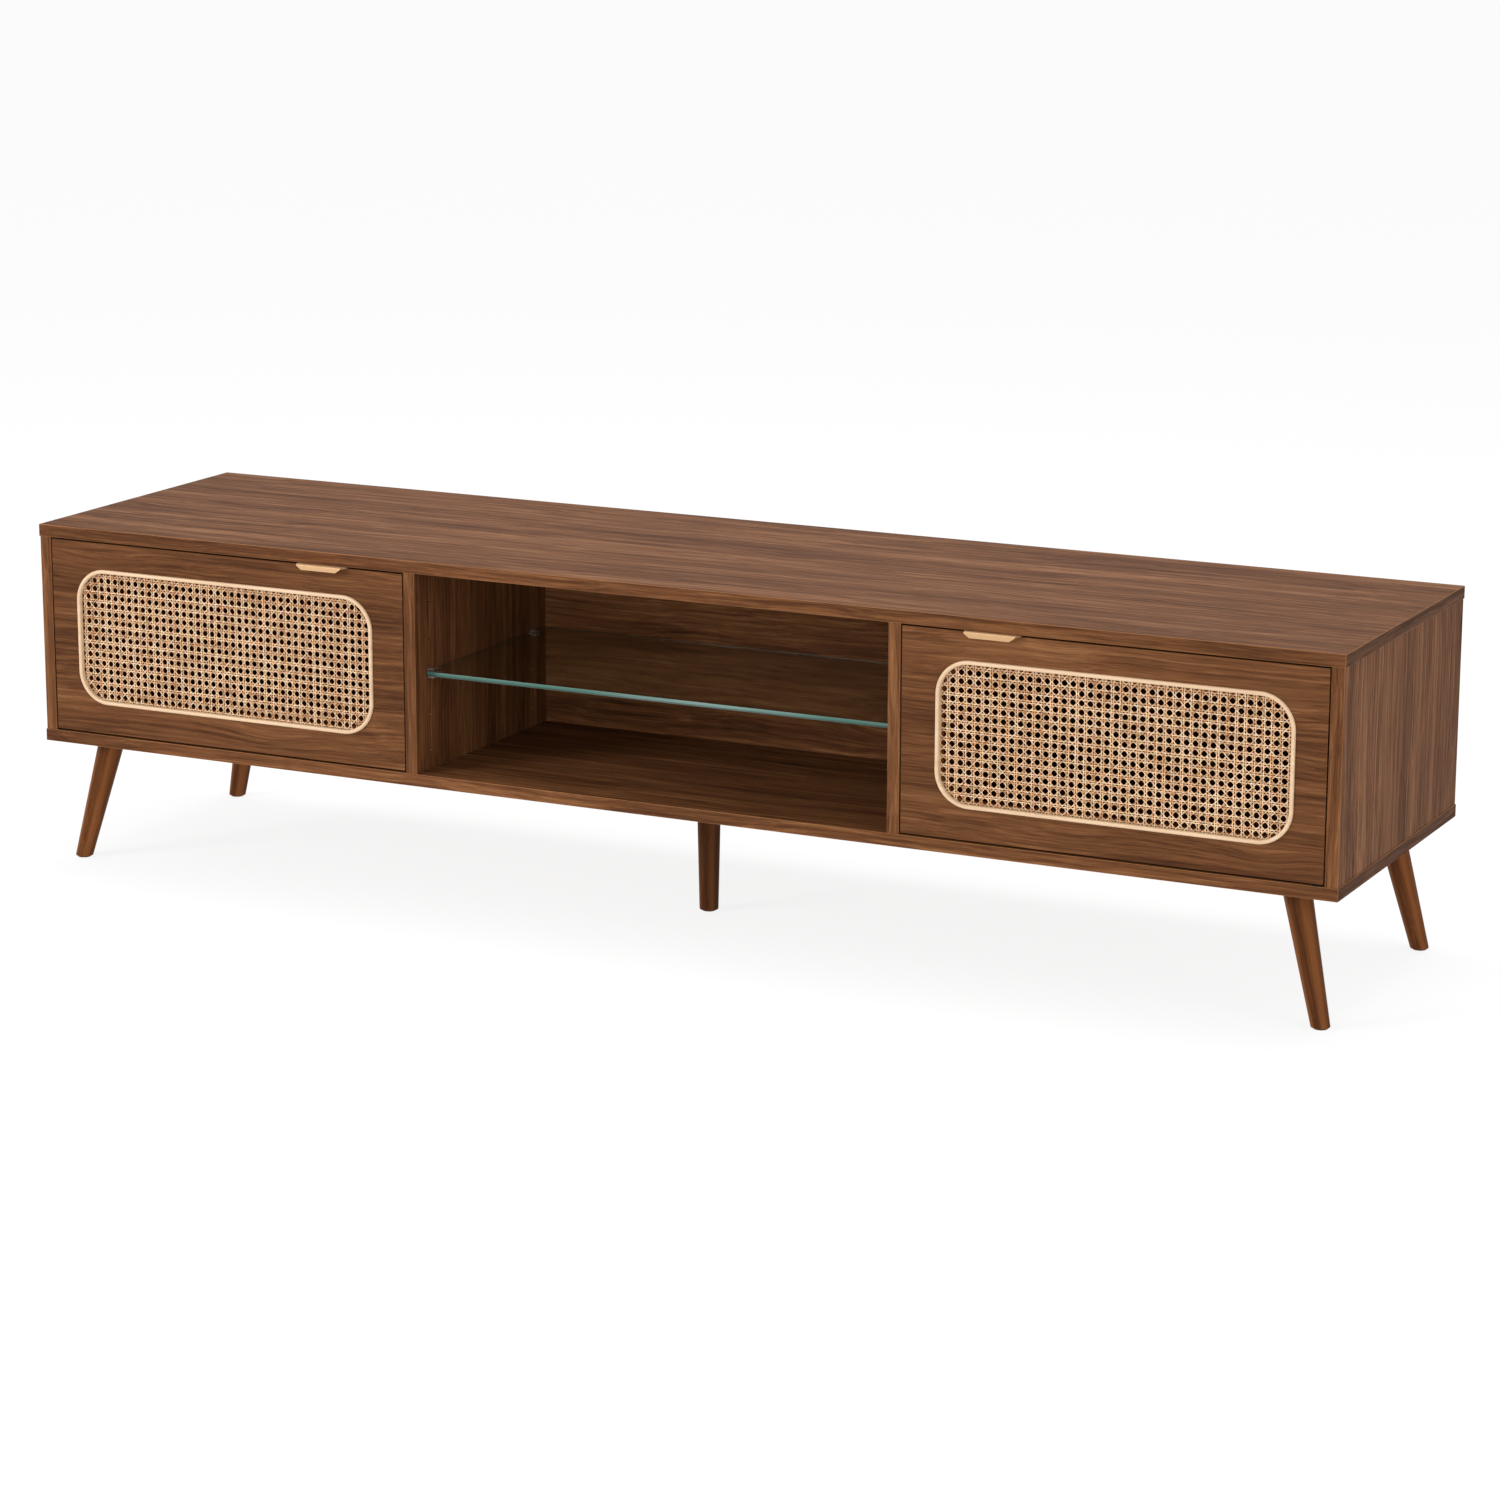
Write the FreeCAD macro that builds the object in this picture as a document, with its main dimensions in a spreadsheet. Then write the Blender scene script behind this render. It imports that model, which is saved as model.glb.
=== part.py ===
import FreeCAD, Part
import math
import os
import re
import Sketcher

# Media cabinet, 1.8 m long: a carcass of 16 mm boards on five turned legs, an open bay with a glass
# shelf in the middle, and a pivot-hung door with a cane window on each side.
# +X runs to the right, +Y to the back and +Z up. The origin is on the floor, midway along the length
# and midway between the handles' front edge and the rear edge of the case.

Vector = FreeCAD.Vector
ALONG_X = FreeCAD.Rotation(Vector(0, 1, 0), 90)
ALONG_MINUS_X = FreeCAD.Rotation(Vector(0, 1, 0), -90)
ALONG_Y = FreeCAD.Rotation(Vector(1, 0, 0), -90)
ALONG_Z = FreeCAD.Rotation()
TOUCH = 0.01
SEED_OUTLINE = (60.0, 40.0, 10.0)   # half length, half height and corner radius before solving

SIDES = (("left", -1), ("right", 1))
DEPTHS = (("front", -1), ("rear", 1))

DRIVING_DIMENSIONS = (
    # carcass
    ("case_length", 1800),
    ("case_depth", 450),
    ("case_height", 292),
    ("board", 16),
    ("reveal", 1),              # uprights and doors stand this far behind the case's front edge
    ("side_inset", 1),          # sides stand this far inside the ends of the top and bottom
    ("bay_width", 657),
    ("ease", 0.8),              # rounding of the boards' outer edges
    # back panels, held in grooves
    ("back_thickness", 5),
    ("groove_depth", 6),
    ("groove_play", 0.3),
    ("back_setback", 10),       # from the case's rear edge to a compartment's back panel
    ("bay_back_depth", 340),    # from the case's front edge to the bay's back panel
    # legs
    ("leg_height", 165),
    ("leg_top_diameter", 35.8),
    ("leg_foot_diameter", 23.3),
    ("leg_top_inset_x", 69),
    ("leg_foot_inset_x", 28),
    ("leg_top_inset_y", 54),
    ("leg_foot_inset_y", 37.5),
    ("leg_foot_rounding", 1.5),
    ("centre_leg_setback", 175),
    ("centre_leg_top_diameter", 31.6),
    ("centre_leg_foot_diameter", 24.4),
    ("pad_diameter", 17),
    ("pad_thickness", 1.5),
    ("leg_bolt_diameter", 8),
    ("leg_bolt_length", 38),
    ("insert_diameter", 11),
    ("insert_length", 12),
    # glass shelf and its supports
    ("glass_thickness", 6),
    ("glass_setback", 25),
    ("glass_side_gap", 2.5),
    ("glass_back_gap", 2),
    ("pin_hole_diameter", 5),
    ("pin_hole_depth", 10),
    ("pin_hole_front", 37),
    ("pin_hole_rear", 303),
    ("pin_hole_first", 41),     # lowest row, above the underside of the case
    ("pin_hole_pitch", 48),
    ("support_width", 9),
    ("support_reach", 9),
    ("support_lug", 4),
    ("support_clip", 2.2),
    ("support_web", 1.6),
    # carcass fasteners
    ("hole_play", 0.2),
    ("fastener_front", 60),     # first dowel line, behind the front edge
    ("fastener_rear", 60),      # last dowel line, ahead of the rear edge
    ("dowel_diameter", 8),
    ("dowel_length", 30),
    ("dowel_sink", 10),         # length of a dowel in the top or bottom panel
    ("cam_offset", 32),         # from a dowel line to the cam line beside it
    ("cam_diameter", 15),
    ("cam_depth", 12.5),
    ("cam_setdown", 34),
    ("cam_bolt_diameter", 6),
    ("cam_bolt_sink", 11),
    ("confirmat_diameter", 5),
    ("confirmat_length", 50),
    ("confirmat_head_diameter", 9),
    ("confirmat_head_height", 4),
    # doors
    ("door_side_gap", 2),
    ("door_end_gap", 2.5),
    ("window_length", 451.4),
    ("window_height", 181.4),
    ("window_radius", 44),
    ("window_hinge_margin", 38.25),
    ("window_low_margin", 39.2),
    ("bead_width", 5.2),
    ("bead_height", 3),
    ("bead_rounding", 2.3),
    ("bead_overlap", 3),        # of the bead on the door's face, outside the window cut-out
    ("bead_tongue", 3),         # depth of the bead inside the cut-out
    ("inlay_play", 0.2),
    ("cane_thickness", 2),
    ("retainer_width", 5.5),
    ("retainer_depth", 6),
    # pivots
    ("pivot_edge", 8),          # from the door's outer edge to the pivot axis
    ("pivot_depth", 5),         # from the door's front face to the pivot axis
    ("pivot_diameter", 4),
    ("pivot_play", 0.05),       # radial running clearance of the pin in its bush
    ("pivot_in_door", 25),
    ("pivot_in_bush", 8),
    ("collar_diameter", 9),
    ("collar_play", 0.3),
    ("bush_diameter", 8),
    ("bush_depth", 10),
    ("bush_flange_diameter", 12),
    ("bush_flange", 1),
    # edge pulls
    ("handle_edge", 117),       # from the door's inner edge to the middle of its pull
    ("handle_root_width", 72),
    ("handle_bend_width", 65),
    ("handle_lip_width", 51),
    ("handle_reach", 11),
    ("handle_lip_height", 6.8),
    ("handle_thickness", 2),
    ("handle_flange_depth", 14),
    ("handle_bend_radius", 1.8),
    ("handle_corner_radius", 2.5),
    ("handle_screw_spacing", 45),
    ("handle_screw_diameter", 3),
    ("handle_screw_head", 5.6),
    ("handle_screw_length", 16),
    # magnetic catches
    ("catch_edge", 42),         # from the divider to the middle of the catch
    ("catch_length", 46),
    ("catch_width", 15),
    ("catch_height", 13),
    ("catch_gap", 0.4),
    ("catch_hole_spacing", 34),
    ("catch_screw_length", 24),
    ("magnet_length", 22),
    ("magnet_width", 6),
    ("magnet_height", 6),
    ("screw_diameter", 3),
    ("screw_head", 6),
    ("screw_head_height", 1.6),
    ("strike_length", 38),
    ("strike_height", 12),
    ("strike_thickness", 1),
    ("strike_setdown", 9),      # from the underside of the top to the middle of the strike plate
    ("strike_screw_length", 11),
)

# Places that many pieces share, as formulas of the driving dimensions.
FRONT = "((handle_reach - reveal - case_depth) / 2)"
BACK = "((handle_reach - reveal + case_depth) / 2)"
FACE = f"({FRONT} + reveal)"
CASE_TOP = "(leg_height + case_height)"
CEILING = f"({CASE_TOP} - board)"
DECK = "(leg_height + board)"
SIDE_OUTER = "(case_length / 2 - side_inset)"
SIDE_INNER = f"({SIDE_OUTER} - board)"
DIVIDER_INNER = "(bay_width / 2)"
DIVIDER_OUTER = f"({DIVIDER_INNER} + board)"
DOOR_OUTER = f"({SIDE_INNER} - door_side_gap)"
DOOR_INNER = f"({DIVIDER_OUTER} + door_side_gap)"
DOOR_WIDTH = f"({DOOR_OUTER} - {DOOR_INNER})"
DOOR_LOW = f"({DECK} + door_end_gap)"
DOOR_HIGH = f"({CEILING} - door_end_gap)"
PIVOT_X = f"({DOOR_OUTER} - pivot_edge)"
PIVOT_Y = f"({FACE} + pivot_depth)"
HANDLE_X = f"({DOOR_INNER} + handle_edge)"
CATCH_X = f"({DIVIDER_OUTER} + catch_edge)"
GLASS_LOW = "(leg_height + pin_hole_first + 2 * pin_hole_pitch + pin_hole_diameter / 2)"
COMPARTMENT_BACK = f"({BACK} - back_setback - back_thickness)"
BAY_BACK = f"({FRONT} + bay_back_depth)"
WINDOW_X = f"({DOOR_OUTER} - window_hinge_margin - window_length / 2)"
WINDOW_Z = f"({DOOR_LOW} + window_low_margin + window_height / 2)"
CANE_Y = f"({FACE} + bead_tongue)"
RETAINER_Y = f"({CANE_Y} + cane_thickness)"
DOOR_BACK = f"({FACE} + board)"
HANDLE_HIGH = f"({DOOR_HIGH} + handle_thickness)"
HEAD_DEPTH = "((handle_screw_head - handle_screw_diameter) / 2)"
CATCH_Y = f"({DOOR_BACK} + strike_thickness + catch_gap)"
CATCH_SCREW_Y = f"({CATCH_Y} + catch_width - screw_head)"
STRIKE_Z = f"({CEILING} - strike_setdown)"
DOWEL_LINES = (f"({FRONT} + fastener_front)", f"({BACK} - fastener_rear)")
CAM_LINES = (f"({FRONT} + fastener_front + cam_offset)", f"({BACK} - fastener_rear - cam_offset)")
UPRIGHTS = (
    ("left_side_panel", -1, SIDE_INNER, SIDE_OUTER, -1),
    ("left_divider", -1, DIVIDER_INNER, DIVIDER_OUTER, 1),
    ("right_divider", 1, DIVIDER_INNER, DIVIDER_OUTER, 1),
    ("right_side_panel", 1, SIDE_INNER, SIDE_OUTER, -1),
)

doc = FreeCAD.newDocument("media_cabinet")
sheet = doc.addObject("Spreadsheet::Sheet", "Dims")
for row, (alias, number) in enumerate(DRIVING_DIMENSIONS, start=1):
    sheet.set(f"A{row}", alias)
    sheet.set(f"B{row}", str(number))
    sheet.setAlias(f"B{row}", alias)
doc.recompute()

ALIASES = {alias for alias, _ in DRIVING_DIMENSIONS}
nodes = []


def formula(text):
    """A formula of aliases, as an expression that reads the sheet."""
    return re.sub(r"[a-z]\w*", lambda word: f"Dims.{word.group()}" if word.group() in ALIASES
                  else word.group(), text)


def size(alias):
    return float(getattr(sheet, alias))


def bind(thing, **properties):
    """Bind properties to formulas; a double underscore stands for a dot."""
    for name, text in properties.items():
        thing.setExpression(name.replace("__", "."), formula(text))


def put(thing, x="0", y="0", z="0", turn=ALONG_Z):
    thing.Placement = FreeCAD.Placement(Vector(), turn)
    bind(thing, Placement__Base__x=x, Placement__Base__y=y, Placement__Base__z=z)


def node(label, thing):
    """Mark an object as a finished piece under the name of its file."""
    thing.Label = label
    nodes.append(thing)
    return thing


def block(x_span, y_span, z_span):
    """A box between three pairs of formulas."""
    box = doc.addObject("Part::Box", "block")
    lengths = [f"({high}) - ({low})" for low, high in (x_span, y_span, z_span)]
    bind(box, Length=lengths[0], Width=lengths[1], Height=lengths[2])
    put(box, x_span[0], y_span[0], z_span[0])
    return box


def rod(diameter, length, x, y, z, turn=ALONG_Z):
    """A cylinder that starts at a point and runs along the turned Z axis."""
    cylinder = doc.addObject("Part::Cylinder", "rod")
    bind(cylinder, Radius=f"({diameter}) / 2", Height=length)
    put(cylinder, x, y, z, turn)
    return cylinder


def group(pieces):
    compound = doc.addObject("Part::Compound", "group")
    compound.Links = pieces
    return compound


def join(pieces):
    fused = doc.addObject("Part::MultiFuse", "joined")
    fused.Shapes = pieces
    return fused


def cut(base, tools):
    result = doc.addObject("Part::Cut", "cut")
    result.Base = base
    result.Tool = group(tools)
    return result


def rounded(base, radius, wanted):
    """A Part::Fillet on the edges whose ends pass a test."""
    doc.recompute()
    fillet = doc.addObject("Part::Fillet", "rounded")
    fillet.Base = base
    fillet.Edges = [(number, radius, radius) for number, edge in enumerate(base.Shape.Edges, start=1)
                    if wanted(edge)]
    return fillet


def eased(base):
    return rounded(base, size("ease"), lambda edge: True)


def mirrored(span, sign):
    """The same X span on the right (1) or on the left (-1)."""
    low, high = span
    return (low, high) if sign > 0 else (f"-({high})", f"-({low})")


def signed(sign, text):
    return f"{sign} * ({text})"


# ---------------------------------------------------------------- carcass boards

def groove(x_span, y, z_span):
    return block(x_span, (f"{y} - groove_play / 2", f"{y} + back_thickness + groove_play / 2"), z_span)


def upright_middle(sign, inner, outer):
    return signed(sign, f"({inner} + {outer}) / 2")


def horizontal_holes(face, into_board):
    """Dowel holes of the top or bottom panel, in its inner face."""
    start = face if into_board > 0 else f"{face} - dowel_sink"
    return [rod("dowel_diameter + hole_play", "dowel_sink", upright_middle(sign, inner, outer), y, start)
            for _, sign, inner, outer, _ in UPRIGHTS for y in DOWEL_LINES]


def bush_hole(sign, z):
    return rod("bush_diameter + hole_play", "bush_depth", signed(sign, PIVOT_X), PIVOT_Y, z)


def case_board(z_low, z_high):
    """The top or the bottom: a full-length board with eased edges."""
    half = "case_length / 2"
    return eased(block((f"-{half}", half), (FRONT, BACK), (z_low, z_high)))


def board_grooves(z_span):
    spans = [(mirrored((DIVIDER_OUTER, SIDE_INNER), sign), COMPARTMENT_BACK) for _, sign in SIDES]
    spans.append(((f"-{DIVIDER_INNER}", DIVIDER_INNER), BAY_BACK))
    wide = [((f"{low} - groove_depth", f"{high} + groove_depth"), y) for (low, high), y in spans]
    return [groove(x_span, y, z_span) for x_span, y in wide]


def top_panel():
    tools = board_grooves((CEILING, f"{CEILING} + groove_depth"))
    tools += horizontal_holes(CEILING, 1)
    tools += [rod("cam_bolt_diameter + hole_play", "cam_bolt_sink", upright_middle(sign, inner, outer), y,
                  CEILING) for _, sign, inner, outer, _ in UPRIGHTS for y in CAM_LINES]
    tools += [bush_hole(sign, CEILING) for _, sign in SIDES]
    tools += [rod("screw_diameter + hole_play", "catch_screw_length - catch_height + hole_play", x, y,
                  CEILING) for _, sign in SIDES for x, y in catch_screw_places(sign)]
    node("top_panel", cut(case_board(CEILING, CASE_TOP), tools))


def bottom_panel():
    tools = board_grooves((f"{DECK} - groove_depth", DECK))
    tools += horizontal_holes(DECK, -1)
    tools += [bush_hole(sign, f"{DECK} - bush_depth") for _, sign in SIDES]
    for _, sign, inner, outer, _ in UPRIGHTS:
        for y in CAM_LINES:
            x = upright_middle(sign, inner, outer)
            tools.append(rod("confirmat_diameter + hole_play", "board", x, y, "leg_height"))
            tools.append(rod("confirmat_head_diameter + hole_play",
                             "confirmat_head_height + hole_play", x, y,
                             "leg_height"))
    tools += [rod("insert_diameter + hole_play", "insert_length + hole_play", x, y, "leg_height")
              for x, y in leg_places("top")]
    node("bottom_panel", cut(case_board("leg_height", DECK), tools))


def upright_board(sign, inner, outer):
    """A side panel or divider before its holes are drilled."""
    depth = (FACE, f"{BACK} - reveal")
    return eased(block(mirrored((inner, outer), sign), depth, (DECK, CEILING)))


def upright_holes(sign, inner, outer, compartment):
    """End holes for the dowels, cam bolts and confirmats, and the cams' pockets in the hidden face."""
    x = upright_middle(sign, inner, outer)
    depth = "dowel_length - dowel_sink + hole_play"
    tools = []
    for y in DOWEL_LINES:
        tools.append(rod("dowel_diameter + hole_play", depth, x, y, DECK))
        tools.append(rod("dowel_diameter + hole_play", depth, x, y, f"{CEILING} - ({depth})"))
    for y in CAM_LINES:
        tools.append(rod("cam_bolt_diameter + hole_play", "cam_setdown", x, y, f"{CEILING} - cam_setdown"))
        tools.append(rod("confirmat_diameter + hole_play", "confirmat_length - board + hole_play",
                         x, y, DECK))
        tools.append(cam(sign, inner, outer, compartment, y, "hole_play"))
    return tools


def compartment_groove(sign, inner, outer, compartment):
    """Groove in the face of an upright that looks into a door compartment."""
    face = outer if compartment > 0 else inner
    span = (f"{face} - groove_depth", face) if compartment > 0 else (face, f"{face} + groove_depth")
    return groove(mirrored(span, sign), COMPARTMENT_BACK, (DECK, CEILING))


def pin_holes(sign):
    """Two columns of shelf pin holes in the bay face of a divider."""
    column = []
    for row in range(5):
        height = f"leg_height + pin_hole_first + {row} * pin_hole_pitch"
        for setback in ("pin_hole_front", "pin_hole_rear"):
            column.append(rod("pin_hole_diameter + hole_play", "pin_hole_depth", signed(sign, DIVIDER_INNER),
                              f"{FRONT} + {setback}", height, ALONG_X if sign > 0 else ALONG_MINUS_X))
    return column


def uprights():
    for label, sign, inner, outer, compartment in UPRIGHTS:
        tools = upright_holes(sign, inner, outer, compartment)
        tools.append(compartment_groove(sign, inner, outer, compartment))
        if label.endswith("divider"):
            span = mirrored((DIVIDER_INNER, f"{DIVIDER_INNER} + groove_depth"), sign)
            tools.append(groove(span, BAY_BACK, (DECK, CEILING)))
            tools += pin_holes(sign)
        node(label, cut(upright_board(sign, inner, outer), tools))


def back_panels():
    """Three panels, each a groove play smaller than the grooves that hold it."""
    reach = "(groove_depth - groove_play)"
    height = (f"{DECK} - {reach}", f"{CEILING} + {reach}")
    for side, sign in SIDES:
        span = mirrored((f"{DIVIDER_OUTER} - {reach}", f"{SIDE_INNER} + {reach}"), sign)
        back = block(span, (COMPARTMENT_BACK, f"{COMPARTMENT_BACK} + back_thickness"), height)
        node(f"{side}_back_panel", back)
    span = (f"-({DIVIDER_INNER} + {reach})", f"{DIVIDER_INNER} + {reach}")
    node("centre_back_panel", block(span, (BAY_BACK, f"{BAY_BACK} + back_thickness"), height))


# ---------------------------------------------------------------- carcass fasteners

def cam(sign, inner, outer, compartment, y, play="0"):
    """A cam lock, flush in the compartment face of an upright."""
    face = outer if compartment > 0 else inner
    into = -sign * compartment
    return rod(f"cam_diameter + {play}", "cam_depth", signed(sign, face), y, f"{CEILING} - cam_setdown",
               ALONG_X if into > 0 else ALONG_MINUS_X)


def carcass_fasteners():
    cams = []
    cam_bolts = []
    dowels = []
    confirmats = []
    for _, sign, inner, outer, compartment in UPRIGHTS:
        x = upright_middle(sign, inner, outer)
        for y in CAM_LINES:
            shank_low = f"{CEILING} - cam_setdown + cam_diameter / 2"
            shank = "cam_setdown - cam_diameter / 2 + cam_bolt_sink - hole_play"
            cams.append(cam(sign, inner, outer, compartment, y))
            cam_bolts.append(rod("cam_bolt_diameter", shank, x, y, shank_low))
            confirmats.append(join([
                rod("confirmat_diameter", "confirmat_length", x, y, "leg_height"),
                rod("confirmat_head_diameter", "confirmat_head_height", x, y, "leg_height")]))
        for y in DOWEL_LINES:
            dowels.append(rod("dowel_diameter", "dowel_length", x, y, f"{DECK} - dowel_sink"))
            dowels.append(rod("dowel_diameter", "dowel_length", x, y,
                              f"{CEILING} + dowel_sink - dowel_length"))
    node("cam_locks", group(cams))
    node("cam_bolts", group(cam_bolts))
    node("wood_dowels", group(dowels))
    node("confirmat_screws", group(confirmats))


# ---------------------------------------------------------------- legs

def corner(sign_x, sign_y, part):
    """X and Y of a corner leg's axis at its top or at its foot."""
    edge = FRONT if sign_y < 0 else BACK
    x = signed(sign_x, f"case_length / 2 - leg_{part}_inset_x")
    return x, f"{edge} - {sign_y} * leg_{part}_inset_y"


def leg_places(part):
    """X and Y of all five legs' axes at their tops or at their feet."""
    corners = [corner(sign_x, sign_y, part) for _, sign_y in DEPTHS for _, sign_x in SIDES]
    return corners + [("0", f"{FRONT} + centre_leg_setback")]


def circle_sketch(body, name, diameter, x, y, z):
    """A circle on a level plane of a leg's body, at a height above the floor."""
    sketch = body.newObject("Sketcher::SketchObject", name)
    plane = next(plane for plane in body.Origin.OriginFeatures if plane.Role == "XY_Plane")
    sketch.AttachmentSupport = [(plane, "")]
    sketch.MapMode = "FlatFace"
    bind(sketch, AttachmentOffset__Base__x=x, AttachmentOffset__Base__y=y, AttachmentOffset__Base__z=z)
    sketch.addGeometry(Part.Circle(Vector(), Vector(0, 0, 1), 10))
    sketch.addConstraint(Sketcher.Constraint("Coincident", 0, 3, -1, 1))
    sketch.addConstraint(Sketcher.Constraint("Diameter", 0, 20))
    sketch.renameConstraint(1, "across")
    bind(sketch, Constraints__across=diameter)
    return sketch


def leg(label, kind, top, foot):
    """A tapered round leg, sawn level at both ends, with a bolt hole in its top."""
    body = doc.addObject("PartDesign::Body", f"{label}_body")
    put(body, foot[0], foot[1], "pad_thickness")
    shift = (f"({top[0]}) - ({foot[0]})", f"({top[1]}) - ({foot[1]})", "leg_height - pad_thickness")
    foot_circle = circle_sketch(body, f"{label}_foot", f"{kind}_foot_diameter", "0", "0", "0")
    top_circle = circle_sketch(body, f"{label}_top", f"{kind}_top_diameter", *shift)
    loft = body.newObject("PartDesign::AdditiveLoft", f"{label}_taper")
    loft.Profile = foot_circle
    loft.Sections = [top_circle]
    loft.Ruled = True
    hole_circle = circle_sketch(body, f"{label}_hole", "leg_bolt_diameter + hole_play", *shift)
    hole = body.newObject("PartDesign::Pocket", f"{label}_bolt_hole")
    hole.Profile = hole_circle
    bind(hole, Length="leg_bolt_length - insert_length + hole_play")
    doc.recompute()
    foot_edge = min(range(len(hole.Shape.Edges)), key=lambda index: (
        hole.Shape.Edges[index].BoundBox.ZMax, -hole.Shape.Edges[index].Length))
    rounding = body.newObject("PartDesign::Fillet", f"{label}_rounding")
    rounding.Base = (hole, [f"Edge{foot_edge + 1}"])
    bind(rounding, Radius="leg_foot_rounding")
    node(label, body)


def legs():
    for depth, sign_y in DEPTHS:
        for side, sign_x in SIDES:
            top = corner(sign_x, sign_y, "top")
            foot = corner(sign_x, sign_y, "foot")
            leg(f"{depth}_{side}_leg", "leg", top, foot)
    leg("centre_leg", "centre_leg", leg_places("top")[-1], leg_places("foot")[-1])
    bolts = []
    inserts = []
    for x, y in leg_places("top"):
        low = "leg_height + insert_length - leg_bolt_length"
        sleeve = rod("insert_diameter", "insert_length", x, y, "leg_height")
        bolts.append(rod("leg_bolt_diameter", "leg_bolt_length", x, y, low))
        bore = rod("leg_bolt_diameter + hole_play", "insert_length", x, y, "leg_height")
        inserts.append(cut(sleeve, [bore]))
    pads = [rod("pad_diameter", "pad_thickness", x, y, "0") for x, y in leg_places("foot")]
    node("leg_bolts", group(bolts))
    node("leg_inserts", group(inserts))
    node("foot_pads", group(pads))


# ---------------------------------------------------------------- glass shelf

def shelf():
    half = f"{DIVIDER_INNER} - glass_side_gap"
    depth = (f"{FRONT} + glass_setback", f"{BAY_BACK} - glass_back_gap")
    glass = block((f"-({half})", half), depth, (GLASS_LOW, f"{GLASS_LOW} + glass_thickness"))
    node("glass_shelf", rounded(glass, size("ease"), lambda edge: True))


def shelf_support(sign, setback):
    """A pin in the divider with a lug under the glass and a clip over it."""
    y_span = (f"{FRONT} + {setback} - support_width / 2", f"{FRONT} + {setback} + support_width / 2")
    glass_high = f"{GLASS_LOW} + glass_thickness + groove_play"
    clip_high = f"{glass_high} + support_clip"
    reach = mirrored((f"{DIVIDER_INNER} - support_reach", DIVIDER_INNER), sign)
    web = mirrored((f"{DIVIDER_INNER} - support_web", DIVIDER_INNER), sign)
    pin_z = f"{GLASS_LOW} - pin_hole_diameter / 2"
    pin = rod("pin_hole_diameter", "pin_hole_depth - hole_play", signed(sign, DIVIDER_INNER),
              f"{FRONT} + {setback}", pin_z, ALONG_X if sign > 0 else ALONG_MINUS_X)
    return join([
        block(reach, y_span, (f"{GLASS_LOW} - support_lug", GLASS_LOW)),
        block(reach, y_span, (glass_high, clip_high)),
        block(web, y_span, (f"{GLASS_LOW} - support_lug", clip_high)),
        pin])


def shelf_supports():
    setbacks = ("pin_hole_front", "pin_hole_rear")
    supports = [shelf_support(sign, setback) for _, sign in SIDES for setback in setbacks]
    node("shelf_supports", group(supports))


# ---------------------------------------------------------------- doors

def front_sketch(body, name):
    """A sketch on the body's XZ plane: its Y is the body's Z."""
    sketch = body.newObject("Sketcher::SketchObject", name)
    plane = next(plane for plane in body.Origin.OriginFeatures if plane.Role == "XZ_Plane")
    sketch.AttachmentSupport = [(plane, "")]
    sketch.MapMode = "FlatFace"
    return sketch


def draw_rounded_rectangle(sketch, length, height, radius):
    """Four sides and four corner arcs about the sketch's origin, driven by three formulas.

    The seed numbers only start the solver; the formulas set the real length, height and radius.
    """
    first = sketch.GeometryCount
    right, top, bend = SEED_OUTLINE
    corners = ((right - bend, -top + bend, 270), (right - bend, top - bend, 0),
               (-right + bend, top - bend, 90), (-right + bend, -top + bend, 180))
    lines = (((-right + bend, -top), (right - bend, -top)), ((right, -top + bend), (right, top - bend)),
             ((right - bend, top), (-right + bend, top)), ((-right, top - bend), (-right, -top + bend)))
    for start, end in lines:
        sketch.addGeometry(Part.LineSegment(Vector(*start, 0), Vector(*end, 0)))
    for x, y, start in corners:
        circle = Part.Circle(Vector(x, y, 0), Vector(0, 0, 1), bend)
        low = math.radians(start)
        sketch.addGeometry(Part.ArcOfCircle(circle, low, low + math.pi / 2))

    def constrain(*terms):
        return sketch.addConstraint(Sketcher.Constraint(*terms))

    for index in range(4):
        line = first + index
        arc = first + 4 + index
        following = first + (index + 1) % 4
        constrain("Tangent", line, 2, arc, 1)
        constrain("Tangent", arc, 2, following, 1)
        constrain("Horizontal" if index % 2 == 0 else "Vertical", line)
        if index:
            constrain("Equal", first + 4, arc)
    constrain("Symmetric", first + 4, 3, first + 6, 3, -1, 1)
    named = (("length", ("DistanceX", first + 3, 1, first + 1, 1, 2 * right), length),
             ("height", ("DistanceY", first, 1, first + 2, 1, 2 * top), height),
             ("radius", ("Radius", first + 4, bend), radius))
    for word, terms, text in named:
        number = constrain(*terms)
        sketch.renameConstraint(number, f"{word}_{first}")
        sketch.setExpression(f"Constraints.{word}_{first}", formula(text))


def pad(body, sketch, name, length, towards_back=True):
    feature = body.newObject("PartDesign::Pad", name)
    feature.Profile = sketch
    feature.Reversed = towards_back
    bind(feature, Length=length)
    return feature


def window_piece(label, sign, y):
    body = doc.addObject("PartDesign::Body", f"{label}_body")
    put(body, signed(sign, WINDOW_X), y, WINDOW_Z)
    return body


def inset(margin):
    """Length, height and corner radius of the window's outline, moved in by a margin."""
    return (f"window_length - 2 * ({margin})", f"window_height - 2 * ({margin})",
            f"window_radius - ({margin})")


def ring(body, name, outer, inner, length, towards_back=True):
    """A pad between two outlines of the window, each moved in by its own margin."""
    sketch = front_sketch(body, f"{name}_outline")
    draw_rounded_rectangle(sketch, *inset(outer))
    draw_rounded_rectangle(sketch, *inset(inner))
    return pad(body, sketch, name, length, towards_back)


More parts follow.
